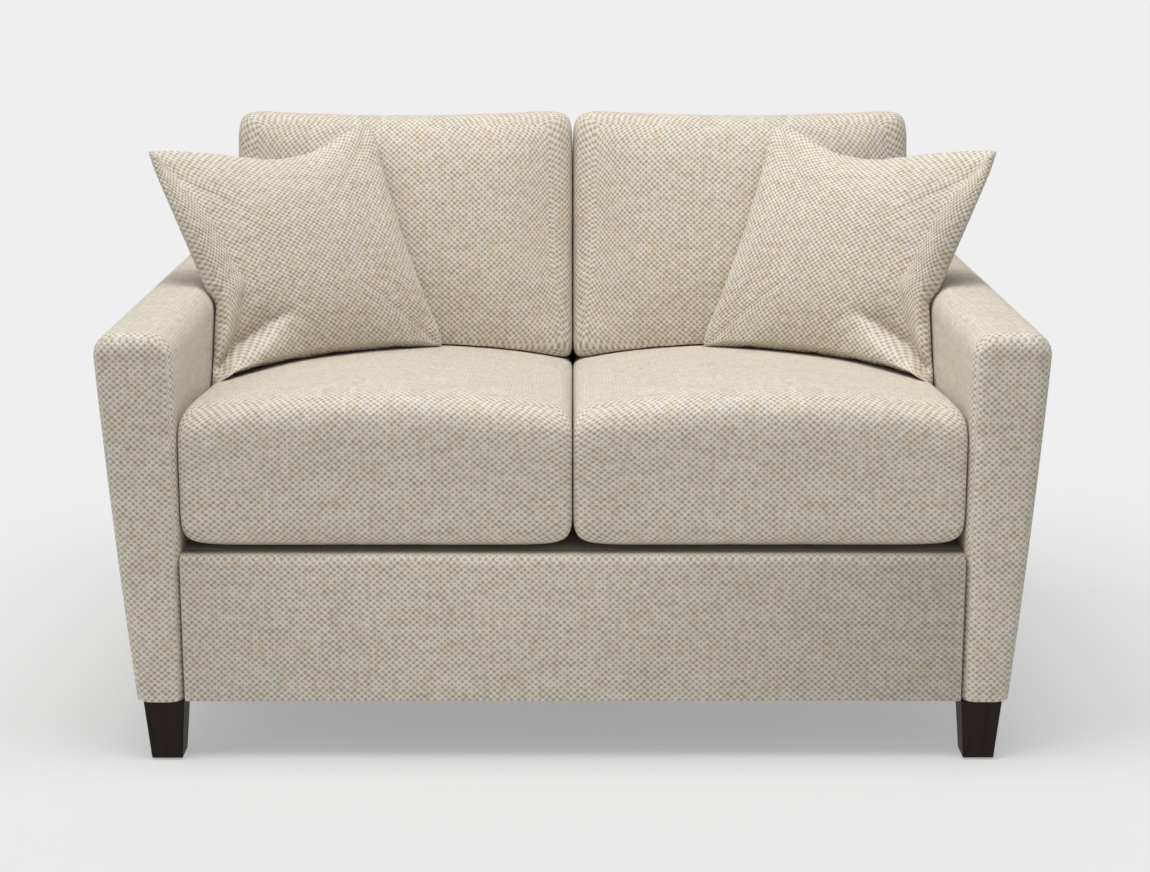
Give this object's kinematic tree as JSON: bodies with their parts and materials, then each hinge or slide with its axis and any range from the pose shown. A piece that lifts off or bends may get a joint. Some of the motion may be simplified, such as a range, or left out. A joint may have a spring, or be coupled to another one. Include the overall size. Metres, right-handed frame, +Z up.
{
  "type": "loveseat",
  "caption": "Upholstered high-back settee with flared track arms, loose seat and back cushions, corner throw pillows and tapered legs.",
  "frame": {"origin": "on the floor, under the middle of the settee's bounding box", "axes": "+Z up; +X to the settee's left-hand arm as seen from behind, which is the right-hand arm seen from the front; -Y towards the front"},
  "size_m": [1.4152, 0.95, 0.9179],
  "materials": {
    "basket_weave": "oatmeal basket weave, matte",
    "deck_cloth": "plain grey lining, matte",
    "black_cloth": "black non-woven cloth, matte",
    "fibre": "white polyester fibre",
    "foam": "open-cell foam",
    "dark_wood": "dark espresso stain, satin",
    "frame_wood": "bare plywood and pine",
    "steel": "zinc plated",
    "nylon": "moulded nylon"
  },
  "bodies": {
    "frame": {"leg_front_left": "dark_wood", "leg_front_right": "dark_wood", "leg_rear_left": "dark_wood", "leg_rear_right": "dark_wood", "leg_glides": "nylon", "hanger_bolts": "steel", "tee_nuts": "steel", "front_rail": "frame_wood", "back_rail": "frame_wood", "base_side_rail_left": "frame_wood", "base_side_rail_right": "frame_wood", "seat_springs": "steel", "spring_clips": "nylon", "deck_pad": "fibre", "deck_cover": "deck_cloth", "dust_cover": "black_cloth", "front_rail_pad": "foam", "front_rail_cover": "basket_weave", "arm_cover_left": "basket_weave", "arm_cover_right": "basket_weave", "arm_padding_left": "foam", "arm_padding_right": "foam", "arm_front_panel_left": "frame_wood", "arm_front_panel_right": "frame_wood", "arm_rear_panel_left": "frame_wood", "arm_rear_panel_right": "frame_wood", "arm_top_rail_left": "frame_wood", "arm_top_rail_right": "frame_wood", "arm_bottom_board_left": "frame_wood", "arm_bottom_board_right": "frame_wood", "arm_inner_rail_left": "frame_wood", "arm_inner_rail_right": "frame_wood", "arm_bolts": "steel", "back_posts": "frame_wood", "back_top_rail": "frame_wood", "back_lower_rails": "frame_wood", "back_webbing": "black_cloth", "back_padding": "foam", "inside_back_cover": "basket_weave", "outside_back_cover": "basket_weave"},
    "seat_cushion_left": {"seat_cushion_cover_left": "basket_weave", "seat_cushion_core_left": "foam", "seat_zip_chain_left": "nylon"},
    "seat_cushion_right": {"seat_cushion_cover_right": "basket_weave", "seat_cushion_core_right": "foam", "seat_zip_chain_right": "nylon"},
    "seat_zip_slider_left": {"seat_zip_slider_left": "steel"},
    "seat_zip_slider_right": {"seat_zip_slider_right": "steel"},
    "back_cushion_left": {"back_cushion_cover_left": "basket_weave", "back_cushion_fill_left": "fibre", "back_zip_chain_left": "nylon"},
    "back_cushion_right": {"back_cushion_cover_right": "basket_weave", "back_cushion_fill_right": "fibre", "back_zip_chain_right": "nylon"},
    "back_zip_slider_left": {"back_zip_slider_left": "steel"},
    "back_zip_slider_right": {"back_zip_slider_right": "steel"},
    "throw_pillow_left": {"throw_pillow_cover_left": "basket_weave", "throw_pillow_fill_left": "fibre"},
    "throw_pillow_right": {"throw_pillow_cover_right": "basket_weave", "throw_pillow_fill_right": "fibre"}
  },
  "joints": [
    {"name": "seat_cushion_lift_left", "type": "slide", "parent": "frame", "child": "seat_cushion_left", "axis": [0, 0, 1], "range_m": [0, 0.3]},
    {"name": "back_cushion_lift_left", "type": "slide", "parent": "seat_cushion_left", "child": "back_cushion_left", "axis": [0, 0, 1], "range_m": [0, 0.45]},
    {"name": "throw_pillow_pull_left", "type": "slide", "parent": "back_cushion_left", "child": "throw_pillow_left", "axis": [0.3004, -0.6007, 0.7409], "range_m": [0, 0.6]},
    {"name": "seat_zip_left", "type": "slide", "parent": "seat_cushion_left", "child": "seat_zip_slider_left", "axis": [-1, 0, 0], "range_m": [0, 0.355]},
    {"name": "back_zip_left", "type": "slide", "parent": "back_cushion_left", "child": "back_zip_slider_left", "axis": [-1, 0, 0], "range_m": [0, 0.355]},
    {"name": "seat_cushion_lift_right", "type": "slide", "parent": "frame", "child": "seat_cushion_right", "axis": [0, 0, 1], "range_m": [0, 0.3]},
    {"name": "back_cushion_lift_right", "type": "slide", "parent": "seat_cushion_right", "child": "back_cushion_right", "axis": [0, 0, 1], "range_m": [0, 0.45]},
    {"name": "throw_pillow_pull_right", "type": "slide", "parent": "back_cushion_right", "child": "throw_pillow_right", "axis": [-0.3004, -0.6007, 0.7409], "range_m": [0, 0.6]},
    {"name": "seat_zip_right", "type": "slide", "parent": "seat_cushion_right", "child": "seat_zip_slider_right", "axis": [1, 0, 0], "range_m": [0, 0.355]},
    {"name": "back_zip_right", "type": "slide", "parent": "back_cushion_right", "child": "back_zip_slider_right", "axis": [1, 0, 0], "range_m": [0, 0.355]}
  ]
}
